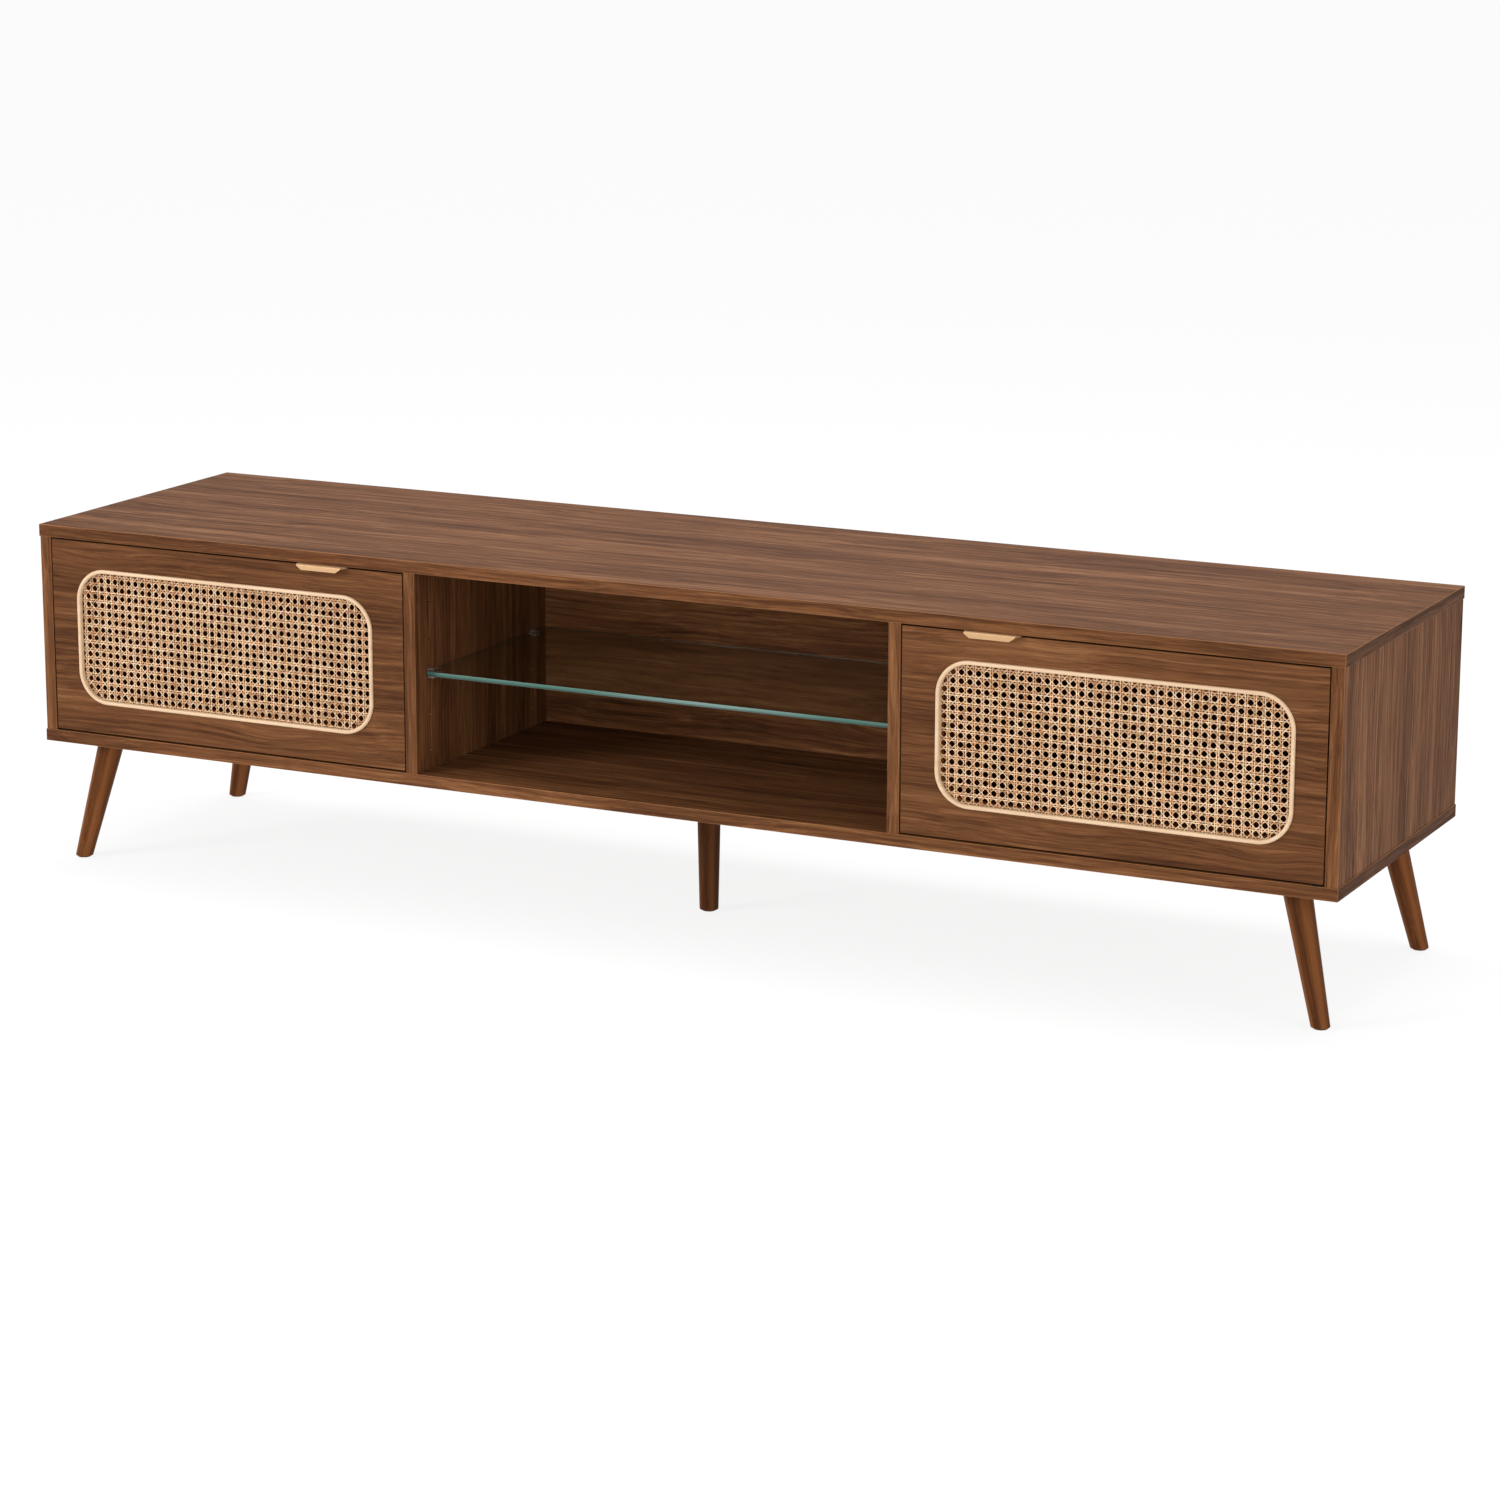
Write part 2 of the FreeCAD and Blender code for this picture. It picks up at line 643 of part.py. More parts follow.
def door_panel(side, sign):
    """A board with eased edges, a rounded window, and holes for its pivots and screws."""
    x_span = mirrored((DOOR_INNER, DOOR_OUTER), sign)
    slab = eased(block(x_span, (FACE, f"{FACE} + board"), (DOOR_LOW, DOOR_HIGH)))
    window = window_piece(f"{side}_window", sign, FACE)
    sketch = front_sketch(window, f"{side}_window_outline")
    draw_rounded_rectangle(sketch, *inset("bead_overlap"))
    pad(window, sketch, f"{side}_window_cutter", "board")
    tools = [window]
    for low in (DOOR_LOW, f"{DOOR_HIGH} - pivot_in_door - hole_play"):
        tools.append(rod("pivot_diameter + hole_play", "pivot_in_door + hole_play", signed(sign, PIVOT_X),
                         PIVOT_Y, low))
    for x, y in handle_screw_places(sign):
        tools.append(rod("handle_screw_diameter + hole_play", "handle_screw_length", x, y,
                         f"{DOOR_HIGH} - handle_screw_length"))
    tools.append(rod("screw_diameter + hole_play", "strike_screw_length + hole_play",
                     signed(sign, CATCH_X), f"{DOOR_BACK} - strike_screw_length - hole_play", STRIKE_Z,
                     ALONG_Y))
    node(f"{side}_door_panel", cut(slab, tools))


def cane_trim(side, sign):
    """The pale bead: a rounded ring on the door's face with a tongue inside the cut-out."""
    label = f"{side}_cane_trim"
    body = window_piece(label, sign, FACE)
    ring(body, f"{label}_tongue", "bead_overlap + inlay_play", "bead_width", "bead_tongue")
    bead = ring(body, f"{label}_bead", "0", "bead_width", "bead_height", towards_back=False)
    doc.recompute()
    edges = [f"Edge{number}" for number, edge in enumerate(bead.Shape.Edges, start=1)
             if edge.BoundBox.YMax < TOUCH - size("bead_height")]
    rounding = body.newObject("PartDesign::Fillet", f"{label}_rounding")
    rounding.Base = (bead, edges)
    bind(rounding, Radius="bead_rounding")
    node(label, body)


def cane_panel(side, sign):
    label = f"{side}_cane_panel"
    body = window_piece(label, sign, CANE_Y)
    sketch = front_sketch(body, f"{label}_outline")
    draw_rounded_rectangle(sketch, *inset("bead_overlap + inlay_play"))
    pad(body, sketch, f"{label}_sheet", "cane_thickness")
    node(label, body)


def cane_retainer(side, sign):
    label = f"{side}_cane_retainer"
    body = window_piece(label, sign, RETAINER_Y)
    outer = "bead_overlap + inlay_play"
    ring(body, f"{label}_frame", outer, f"{outer} + retainer_width", "retainer_depth")
    node(label, body)


# ---------------------------------------------------------------- pivots

def pivot_pins(side, sign):
    """Shoulder pins in the door's ends: the collar spaces the door off the bush's flange."""
    x = signed(sign, PIVOT_X)
    length = "pivot_in_door + door_end_gap + pivot_in_bush"
    collar = "door_end_gap - bush_flange - collar_play"
    low = join([rod("pivot_diameter", length, x, PIVOT_Y, f"{DECK} - pivot_in_bush"),
                rod("collar_diameter", collar, x, PIVOT_Y, f"{DOOR_LOW} - ({collar})")])
    high = join([rod("pivot_diameter", length, x, PIVOT_Y, f"{DOOR_HIGH} - pivot_in_door"),
                 rod("collar_diameter", collar, x, PIVOT_Y, DOOR_HIGH)])
    node(f"{side}_pivot_pins", group([low, high]))


def pivot_bush(sign, sleeve_low, flange_low, bore_low):
    x = signed(sign, PIVOT_X)
    bore = rod("pivot_diameter + 2 * pivot_play", "bush_depth + bush_flange", x, PIVOT_Y, bore_low)
    return cut(join([
        rod("bush_diameter", "bush_depth", x, PIVOT_Y, sleeve_low),
        rod("bush_flange_diameter", "bush_flange", x, PIVOT_Y, flange_low)]), [bore])


def pivot_bushes():
    bushes = []
    for _, sign in SIDES:
        deck_sleeve = f"{DECK} - bush_depth"
        bushes.append(pivot_bush(sign, deck_sleeve, DECK, deck_sleeve))
        ceiling_flange = f"{CEILING} - bush_flange"
        bushes.append(pivot_bush(sign, CEILING, ceiling_flange, ceiling_flange))
    node("pivot_bushes", group(bushes))


# ---------------------------------------------------------------- edge pulls

def handle_screw_places(sign):
    y = f"{FACE} + handle_flange_depth / 2"
    return [(signed(sign, f"{HANDLE_X} + {end} * handle_screw_spacing / 2"), y) for end in (-1, 1)]


def countersink(x, y, play="0"):
    """The cone of a countersunk head, flush with the top of the pull's flange."""
    cone = doc.addObject("Part::Cone", "countersink")
    bind(cone, Radius1=f"(handle_screw_diameter + {play}) / 2", Radius2=f"(handle_screw_head + {play}) / 2",
         Height=HEAD_DEPTH)
    put(cone, x, y, f"{HANDLE_HIGH} - {HEAD_DEPTH}")
    return cone


def wedge(near_width, far_width, run, height):
    """A prism about X = 0 whose width changes along its own Y."""
    piece = doc.addObject("Part::Wedge", "wedge")
    bind(piece, Xmin=f"-({near_width}) / 2", Xmax=f"({near_width}) / 2", X2min=f"-({far_width}) / 2",
         X2max=f"({far_width}) / 2", Ymin="0", Ymax=run, Zmin="0", Zmax=height, Z2min="0", Z2max=height)
    return piece


def handle(side, sign):
    """A bent strip: a flange on the door's top edge, a reach forwards and a lip turned down.

    It narrows in plan from the door's face to the bend, and again down the lip.
    """
    middle = signed(sign, HANDLE_X)
    low = f"({HANDLE_HIGH} - handle_lip_height)"
    tip = f"({FACE} - handle_reach)"
    heel = f"({FACE} + handle_flange_depth)"
    x_span = (f"{middle} - handle_root_width / 2", f"{middle} + handle_root_width / 2")
    strip = block(x_span, (tip, heel), (low, HANDLE_HIGH))
    bent = cut(strip, [block(x_span, (f"{tip} + handle_thickness", heel), (low, DOOR_HIGH))])
    doc.recompute()
    bend_y = bent.Shape.BoundBox.YMin
    bend_z = bent.Shape.BoundBox.ZMax
    curved = rounded(bent, size("handle_bend_radius"), lambda edge: (
        edge.BoundBox.YMax < bend_y + TOUCH and edge.BoundBox.ZMin > bend_z - TOUCH))
    plan = wedge("handle_bend_width", "handle_root_width", "handle_reach", "handle_lip_height")
    put(plan, middle, tip, low)
    flange = block(x_span, (FACE, heel), (low, HANDLE_HIGH))
    lip = wedge("handle_lip_width", "handle_bend_width", "handle_lip_height - handle_thickness",
                "handle_reach + handle_flange_depth")
    put(lip, middle, heel, low, FreeCAD.Rotation(Vector(1, 0, 0), 90))
    above_lip = block(x_span, (tip, heel), (DOOR_HIGH, HANDLE_HIGH))
    shaped = doc.addObject("Part::MultiCommon", f"{side}_handle_shape")
    shaped.Shapes = [curved, join([plan, flange]), join([lip, above_lip])]
    bend_low = bent.Shape.BoundBox.ZMin
    softened = rounded(shaped, size("handle_corner_radius"), lambda edge: (
        edge.BoundBox.ZMax < bend_low + TOUCH and edge.BoundBox.XLength < size("handle_thickness")))
    holes = []
    screws = []
    for x, y in handle_screw_places(sign):
        holes.append(rod("handle_screw_diameter + hole_play", "handle_thickness", x, y, DOOR_HIGH))
        holes.append(countersink(x, y, "hole_play"))
        screws.append(join([
            rod("handle_screw_diameter", "handle_screw_length", x, y,
                f"{HANDLE_HIGH} - handle_screw_length"),
            countersink(x, y)]))
    node(f"{side}_handle", cut(softened, holes))
    node(f"{side}_handle_screws", group(screws))


# ---------------------------------------------------------------- magnetic catches

def catch_screw_places(sign):
    return [(signed(sign, f"{CATCH_X} + {end} * catch_hole_spacing / 2"), CATCH_SCREW_Y) for end in (-1, 1)]


def magnet_spans(sign):
    """The magnet's three spans; it fills a pocket in the catch's front."""
    x_span = mirrored((f"{CATCH_X} - magnet_length / 2", f"{CATCH_X} + magnet_length / 2"), sign)
    z_span = (f"{STRIKE_Z} - magnet_height / 2", f"{STRIKE_Z} + magnet_height / 2")
    return x_span, (CATCH_Y, f"{CATCH_Y} + magnet_width"), z_span


def catches():
    """Catches under the top panel, with their magnets and screws, behind each door's inner corner."""
    magnets = []
    screws = []
    for side, sign in SIDES:
        x_span = mirrored((f"{CATCH_X} - catch_length / 2", f"{CATCH_X} + catch_length / 2"), sign)
        housing = block(x_span, (CATCH_Y, f"{CATCH_Y} + catch_width"), (f"{CEILING} - catch_height", CEILING))
        tools = [block(*magnet_spans(sign))]
        for x, y in catch_screw_places(sign):
            low = f"{CEILING} - catch_height"
            tools.append(rod("screw_diameter + hole_play", "catch_height", x, y, low))
            screws.append(join([
                rod("screw_diameter", "catch_screw_length", x, y, low),
                rod("screw_head", "screw_head_height", x, y, f"{low} - screw_head_height")]))
        magnets.append(block(*magnet_spans(sign)))
        node(f"{side}_magnetic_catch", cut(housing, tools))
    node("catch_magnets", group(magnets))
    node("catch_screws", group(screws))


def strike(side, sign):
    """The steel plate on the door's back that the magnet pulls, and its screw."""
    x = signed(sign, CATCH_X)
    x_span = mirrored((f"{CATCH_X} - strike_length / 2", f"{CATCH_X} + strike_length / 2"), sign)
    z_span = (f"{STRIKE_Z} - strike_height / 2", f"{STRIKE_Z} + strike_height / 2")
    plate = block(x_span, (DOOR_BACK, f"{DOOR_BACK} + strike_thickness"), z_span)
    hole = rod("screw_diameter + hole_play", "strike_thickness", x, DOOR_BACK, STRIKE_Z, ALONG_Y)
    node(f"{side}_strike_plate", cut(plate, [hole]))
    shank = rod("screw_diameter", "strike_screw_length + strike_thickness", x,
                f"{DOOR_BACK} - strike_screw_length", STRIKE_Z, ALONG_Y)
    node(f"{side}_strike_screw", shank)


# ---------------------------------------------------------------- the whole cabinet

def check_document():
    failed = [thing.Name for thing in doc.Objects if {"Invalid", "Error"} & set(thing.State)]
    if failed:
        raise RuntimeError(f"failed to build: {failed}")
    for piece in nodes:
        if piece.Shape.isNull() or not piece.Shape.isValid() or not piece.Shape.Solids:
            raise RuntimeError(f"no valid solid: {piece.Label}")


top_panel()
bottom_panel()
uprights()
back_panels()
carcass_fasteners()
legs()
shelf()
shelf_supports()
pivot_bushes()
catches()
for side, sign in SIDES:
    door_panel(side, sign)
    cane_trim(side, sign)
    cane_panel(side, sign)
    cane_retainer(side, sign)
    pivot_pins(side, sign)
    handle(side, sign)
    strike(side, sign)

doc.recompute()
check_document()
os.makedirs("parts", exist_ok=True)
for piece in nodes:
    piece.Shape.exportStep(f"parts/{piece.Label}.step")
    box = piece.Shape.BoundBox
    print(f"{piece.Label:24s} solids {len(piece.Shape.Solids):2d}  volume {piece.Shape.Volume / 1000:9.2f} cm3"
          f"  z {box.ZMin:7.2f} to {box.ZMax:7.2f}")
print(len(nodes), "nodes")
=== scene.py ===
import math

import bpy
import numpy as np
from mathutils import Matrix, Vector


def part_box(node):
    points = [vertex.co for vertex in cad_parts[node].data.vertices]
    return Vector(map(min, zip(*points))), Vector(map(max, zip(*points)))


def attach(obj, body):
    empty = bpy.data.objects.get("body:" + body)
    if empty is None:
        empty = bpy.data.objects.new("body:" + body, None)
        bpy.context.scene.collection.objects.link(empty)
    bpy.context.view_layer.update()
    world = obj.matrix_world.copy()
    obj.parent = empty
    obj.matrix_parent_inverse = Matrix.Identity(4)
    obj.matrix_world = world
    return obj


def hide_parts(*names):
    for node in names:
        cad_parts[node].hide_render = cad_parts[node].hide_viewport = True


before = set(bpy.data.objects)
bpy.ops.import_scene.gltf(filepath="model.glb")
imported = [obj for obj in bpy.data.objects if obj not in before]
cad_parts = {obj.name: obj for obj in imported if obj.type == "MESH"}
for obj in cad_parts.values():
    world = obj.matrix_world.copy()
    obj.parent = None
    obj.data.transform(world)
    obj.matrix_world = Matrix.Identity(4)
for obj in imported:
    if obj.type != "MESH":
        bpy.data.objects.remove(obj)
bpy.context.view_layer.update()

SIDES = (("left", -1), ("right", 1))

# Lengths are in metres. The webbing's outline: half its length, half its height and its corner radius.
CANE_HALF_X = 0.2222
CANE_HALF_Z = 0.0872
CANE_RADIUS = 0.0405
OUTLINE_STEP = 0.0002       # how finely the outline is searched for the ends of a strand
FEWEST_STEPS = 8            # a strand that would be shorter than this is left out
END_CLEARANCE = 0.3         # least distance from a strand's end to its next point, in steps of the strand

# The webbing's lattice. For each door: the pitch along X, and how far a crossing stands from the centre.
LATTICE = {"left": (0.01065, -0.0032), "right": (0.0110, -0.0019)}
PITCH_Z = 0.01106
ROW_SHIFT = 0.0029          # of the lattice above the window's centre
PAIR_GAP = 0.00128          # from the middle of a pair to the middle of each of its strands
SAMPLES_PER_PITCH = 4

# The webbing's strands.
STRAND_WIDTH = 0.00136
DIAGONAL_WIDTH = 0.00119
STRAND_CROWN = 0.00030      # how far the face of a strand stands in front of its edges
STRAND_BACK = 0.00016       # and its back behind them
PLAIN_LIFT = 0.00028        # how far the pairs rise and fall through each other
DIAGONAL_LIFT = 0.00052     # and the diagonals through the pairs
PAIR_UNEVENNESS = 0.00005
DIAGONAL_UNEVENNESS = 0.00006
# a strand's section: half widths across, and metres outward
SECTION = np.array([(-1.0, 0.0), (-0.5, STRAND_CROWN), (0.5, STRAND_CROWN), (1.0, 0.0), (0.0, -STRAND_BACK)])


# ---------------------------------------------------------------- node graphs

class Graph:
    """A material's node tree, with one method for each kind of step that the materials use."""

    def __init__(self, name):
        self.material = bpy.data.materials.new(name)
        self.material.use_nodes = True
        self.tree = self.material.node_tree
        self.tree.nodes.clear()
        self.output = self.add("ShaderNodeOutputMaterial")

    def add(self, kind, **settings):
        step = self.tree.nodes.new(kind)
        for key, value in settings.items():
            setattr(step, key, value)
        return step

    def feed(self, socket, value):
        """Link an output to a socket, or set the socket to a plain value."""
        if isinstance(value, bpy.types.NodeSocket):
            self.tree.links.new(value, socket)
        elif value is not None:
            socket.default_value = value

    def math(self, operation, a, b=0.0, c=0.0, clamp=False):
        step = self.add("ShaderNodeMath", operation=operation, use_clamp=clamp)
        for socket, value in zip(step.inputs, (a, b, c)):
            self.feed(socket, value)
        return step.outputs[0]

    def vector(self, operation, a, b):
        step = self.add("ShaderNodeVectorMath", operation=operation)
        self.feed(step.inputs[0], a)
        self.feed(step.inputs[1], b)
        return step.outputs["Value" if operation == "DOT_PRODUCT" else "Vector"]

    def split(self, vector):
        step = self.add("ShaderNodeSeparateXYZ")
        self.feed(step.inputs[0], vector)
        return step.outputs

    def combine(self, x, y, z):
        step = self.add("ShaderNodeCombineXYZ")
        for socket, value in zip(step.inputs, (x, y, z)):
            self.feed(socket, value)
        return step.outputs[0]

    def place(self):
        """Coordinates in the object's own frame, in metres."""
        return self.add("ShaderNodeTexCoord").outputs["Object"]

    def normal(self):
        """The way the surface faces in the object's own frame: its X, Y and Z, each from -1 to 1."""
        return self.split(self.add("ShaderNodeTexCoord").outputs["Normal"])

    def facing(self):
        """How squarely the surface faces along X, Y and Z, either way: each from 0 to 1."""
        return [self.math("ABSOLUTE", part) for part in self.normal()]

    def noise(self, vector, scale=1.0, detail=3.0, roughness=0.5):
        step = self.add("ShaderNodeTexNoise")
        self.feed(step.inputs["Vector"], vector)
        self.feed(step.inputs["Scale"], scale)
        self.feed(step.inputs["Detail"], detail)
        self.feed(step.inputs["Roughness"], roughness)
        return step.outputs["Fac"]

    def drawn(self, place, along, across, detail, roughness=0.5):
        """Noise drawn out along X, with its scales along X and across it."""
        stretched = self.vector("MULTIPLY", place, (along, across, across))
        return self.noise(stretched, detail=detail, roughness=roughness)

    def swing(self, value, amount):
        """A 0 to 1 value as a swing about zero, half the amount each way."""
        return self.math("MULTIPLY_ADD", value, amount, -amount / 2)

    def ramp(self, factor, stops):
        step = self.add("ShaderNodeValToRGB")
        elements = step.color_ramp.elements
        while len(elements) < len(stops):
            elements.new(0.5)
        for element, (position, colour) in zip(elements, stops):
            element.position = position
            element.color = opaque(colour)
        self.feed(step.inputs[0], factor)
        return step.outputs["Color"]

    def span(self, value, low, high, to_low=0.0, to_high=1.0):
        """Map a range of a value to another range, clamped."""
        step = self.add("ShaderNodeMapRange", clamp=True)
        for socket, number in zip(step.inputs, (value, low, high, to_low, to_high)):
            self.feed(socket, number)
        return step.outputs[0]

    def mix(self, factor, a, b, blend="MIX"):
        """Mix two colours."""
        step = self.add("ShaderNodeMix", data_type="RGBA", blend_type=blend)
        for index, value in ((0, factor), (6, a), (7, b)):
            self.feed(step.inputs[index], value)
        return step.outputs[2]

    def mix_vector(self, factor, a, b):
        step = self.add("ShaderNodeMix", data_type="VECTOR")
        for index, value in ((0, factor), (4, a), (5, b)):
            self.feed(step.inputs[index], value)
        return step.outputs[1]

    def bump(self, height, strength, distance):
        step = self.add("ShaderNodeBump")
        self.feed(step.inputs["Height"], height)
        self.feed(step.inputs["Strength"], strength)
        self.feed(step.inputs["Distance"], distance)
        return step.outputs["Normal"]

    def surface(self, colour, roughness, normal=None, **sockets):
        """Finish the material; other sockets are given by name, with an underscore for each space."""
        shader = self.add("ShaderNodeBsdfPrincipled")
        self.feed(shader.inputs["Base Color"], colour)
        self.feed(shader.inputs["Roughness"], roughness)
        self.feed(shader.inputs["Normal"], normal)
        for key, value in sockets.items():
            self.feed(shader.inputs[key.replace("_", " ")], value)
        self.tree.links.new(shader.outputs[0], self.output.inputs["Surface"])
        return self.material


def rgb(red, green, blue):
    """A linear colour from 0 to 255 screen values."""
    return tuple(((c / 255 + 0.055) / 1.055) ** 2.4 if c > 10 else c / 255 / 12.92
                 for c in (red, green, blue))


def opaque(colour, amount=1.0):
    """A linear colour, lighter or deeper by an amount, with an alpha of 1."""
    return (*[c * amount for c in colour], 1.0)


def rgba(*screen):
    return opaque(rgb(*screen))


# ---------------------------------------------------------------- wood

# Screen colours from the darkest line to the lightest.
VENEER = (rgb(50, 27, 14), rgb(80, 48, 27), rgb(103, 65, 38), rgb(137, 94, 60))
SOLID = (rgb(50, 26, 11), rgb(69, 38, 18), rgb(86, 49, 24), rgb(108, 65, 35))
# how much lighter or deeper some boards' veneer is than the rest: the doors' deeper tone is their own, and
# the centre back panel's lighter veneer is painted light at the back of the open bay
DEPTH_AND_PAINTED_LIGHT = {"left_door_panel": 0.95, "right_door_panel": 0.93, "centre_back_panel": 1.18}
# painted shade: the centre leg, set back under the case, has deeper tones than the others
CENTRE_LEG_PAINTED_SHADE = 0.55
BANDING = (0.53, 0.48, 0.42, 1.0)       # the strips on a board's ends, against its faces
INSIDE_SHADE = (0.30, 0.27, 0.24, 1.0)         # painted shade on a board's face inside a closed cupboard, against the others

# the eyes in the figure of some boards: centre, radii, and how far the grain swings round them
KNOTS = {
    "left_door_panel": (((-0.55, 0, 0.205), (0.070, 1, 0.018), 0.008),
                        ((-0.40, 0, 0.405), (0.090, 1, 0.014), -0.006),
                        ((-0.80, 0, 0.415), (0.070, 1, 0.016), 0.008)),
    "right_door_panel": (((0.80, 0, 0.205), (0.045, 1, 0.013), 0.010),
                         ((0.62, 0, 0.215), (0.090, 1, 0.016), -0.005),
                         ((0.865, 0, 0.33), (0.050, 1, 0.020), 0.008)),
    "centre_back_panel": (((0.17, 0, 0.215), (0.060, 1, 0.018), 0.014),
                          ((-0.06, 0, 0.41), (0.070, 1, 0.016), 0.008)),
}


def grain_frame(graph, direction, seed, banded=False):
    """Object coordinates turned so that the grain runs along their X, moved to a board's own stretch of wood.

    A banded board has a strip of veneer glued to each end, with its grain along the strip.
    """
    along = Vector(direction).normalized()
    across = Vector((0, 1, 0)) if abs(along.y) < 0.9 else Vector((1, 0, 0))
    third = along.cross(across).normalized()
    across = third.cross(along)
    place = graph.place()
    parts = [graph.vector("DOT_PRODUCT", place, tuple(axis)) for axis in (along, across, third)]
    turned = graph.combine(*parts)
    if banded:
        strip = graph.combine(parts[1], parts[0], parts[2])
        turned = graph.mix_vector(graph.span(graph.facing()[0], 0.70, 0.72), turned, strip)
    shift = np.random.default_rng(seed).uniform(-4, 4, 3)
    return graph.vector("ADD", turned, tuple(shift))


def figures(graph, across, knots):
    """Bulges that carry the grain lines round the eyes of a board's figure."""
    place = graph.place()
    for centre, radii, lift in knots:
        scaled = graph.vector("DIVIDE", graph.vector("SUBTRACT", place, centre), radii)
        square = graph.vector("DOT_PRODUCT", scaled, scaled)
        fall = graph.math("POWER", math.e, graph.math("MULTIPLY", square, -1.0))
        across = graph.math("ADD", across, graph.math("MULTIPLY", fall, lift))
    return across


def walnut(name, direction, seed, tones, knots=(), roughness=(0.52, 0.66), contrast=1.0, specular=0.055,
           edge_highlight=0.55, banded=False, shaded_inside=False):
    """Walnut: broad bands, streaks, fine fibres and dark pores, all drawn out along the grain.

    A banded board's end strips are darker, a board shaded inside is much darker on its face toward -Y, the
    inside of a closed cupboard, as painted shade, and every eased edge is lighter by a painted highlight.
    """
    graph = Graph(name)
    base = grain_frame(graph, direction, seed, banded)
    x, y, z = graph.split(base)
    sway = graph.drawn(base, 2.6, 5.0, 2.0)
    ripple = graph.drawn(base, 11.0, 22.0, 2.0)
    bend = graph.math("ADD", graph.swing(sway, 0.028), graph.swing(ripple, 0.0036))
    z = figures(graph, graph.math("ADD", z, bend), knots)
    y = graph.math("ADD", y, bend)
    grain = graph.combine(x, y, z)
    bands = graph.drawn(grain, 1.1, 26.0, 3.0, 0.55)
    streaks = graph.drawn(grain, 4.0, 210.0, 5.0, 0.66)
    veins = graph.drawn(grain, 2.2, 120.0, 4.0, 0.6)
    fibres = graph.drawn(grain, 20.0, 1000.0, 3.0, 0.6)
    dashes = graph.drawn(grain, 70.0, 1500.0, 1.0)
    tone = graph.math("ADD", graph.swing(bands, 0.80), graph.swing(streaks, 1.40))
    tone = graph.math("ADD", tone, graph.swing(fibres, 0.70))
    tone = graph.math("MULTIPLY_ADD", tone, contrast, 0.5, clamp=True)
    dark, low, middle, light = tones
    colour = graph.ramp(tone, ((0.10, dark), (0.36, low), (0.58, middle), (0.90, light)))
    colour = graph.mix(graph.span(veins, 0.56, 0.72, 0.0, 0.47), colour, opaque(dark, 1.25))
    pores = graph.span(dashes, 0.66, 0.76)
    colour = graph.mix(graph.math("MULTIPLY", pores, 0.35), colour, opaque(dark))
    # painted shade: the face toward -Y, inside a closed cupboard, is made much darker
    if shaded_inside:
        front = graph.span(graph.normal()[1], -0.70, -0.90)
        colour = graph.mix(front, colour, INSIDE_SHADE, "MULTIPLY")
    along_x, along_y, along_z = graph.facing()
    if banded:
        colour = graph.mix(graph.span(along_x, 0.70, 0.90), colour, BANDING, "MULTIPLY")
    flat = graph.math("MAXIMUM", graph.math("MAXIMUM", along_x, along_y), along_z)
    # painted highlight: eased edges are made lighter, as if they catch the light
    colour = graph.mix(graph.span(flat, 0.80, 0.98, edge_highlight, 0.0), colour, opaque(light, 1.5))
    shine = graph.span(tone, 0.2, 0.8, roughness[1], roughness[0])
    raised = graph.math("MULTIPLY_ADD", fibres, 0.5, graph.math("MULTIPLY", streaks, 0.5))
    height = graph.math("SUBTRACT", raised, graph.math("MULTIPLY", pores, 0.6))
    return graph.surface(colour, shine, graph.bump(height, 0.25, 0.00025), Specular_IOR_Level=specular)


def pale_wood(name, tones, seed, direction=(1, 0, 0)):
    """A light, close-grained wood: soft streaks along its length and a satin finish."""
    graph = Graph(name)
    base = grain_frame(graph, direction, seed)
    broad = graph.drawn(base, 6.0, 90.0, 3.0)
    fine = graph.drawn(base, 60.0, 1600.0, 3.0)
    tone = graph.math("MULTIPLY_ADD", broad, 0.6, graph.math("MULTIPLY", fine, 0.4))
    colour = graph.ramp(tone, ((0.30, tones[0]), (0.55, tones[1]), (0.75, tones[2])))
    return graph.surface(colour, graph.span(fine, 0.3, 0.7, 0.38, 0.52), graph.bump(fine, 0.15, 0.0002),
                         Specular_IOR_Level=0.45)


# ---------------------------------------------------------------- other finishes

def cane_finish():
    """Split cane: each strand has its own tone, with fibres, discoloured patches, flecks of painted shade and
    painted highlight, and a faint gloss.
    """
    graph = Graph("cane")
    tone = graph.add("ShaderNodeAttribute", attribute_name="tone").outputs["Fac"]
    place = graph.place()
    patches = graph.noise(place, scale=210.0, detail=3.0, roughness=0.6)
    fibres = graph.noise(place, scale=2600.0, detail=2.0)
    value = graph.math("ADD", graph.math("MULTIPLY", tone, 0.42), graph.math("MULTIPLY", patches, 0.75))
    colour = graph.ramp(value, ((0.26, rgb(130, 82, 45)), (0.42, rgb(183, 138, 94)),
                                (0.58, rgb(216, 176, 136)), (0.82, rgb(242, 211, 176))))
    hue = graph.noise(place, scale=120.0, detail=2.0)
    warmth = graph.ramp(hue, ((0.35, (0.93, 0.98, 0.86)), (0.5, (1.0, 0.98, 0.96)),
                              (0.66, (1.0, 0.86, 0.72))))
    colour = graph.mix(1.0, colour, warmth, "MULTIPLY")
    # orange-brown flecks of painted shade and pale flecks of painted highlight, for the shaded gaps and
    # glints of the weave
    shade_and_glint_flecks = graph.noise(place, scale=430.0, detail=2.0)
    colour = graph.mix(graph.span(shade_and_glint_flecks, 0.53, 0.66, 0.0, 0.7), colour, rgba(158, 98, 56))
    colour = graph.mix(graph.span(shade_and_glint_flecks, 0.44, 0.32, 0.0, 0.5), colour, rgba(234, 216, 196))
    colour = graph.mix(graph.span(fibres, 0.45, 0.75, 0.0, 0.25), colour, rgba(150, 96, 52))
    return graph.surface(colour, graph.span(patches, 0.3, 0.7, 0.36, 0.5), graph.bump(fibres, 0.3, 0.0001),
                         Specular_IOR_Level=0.5)


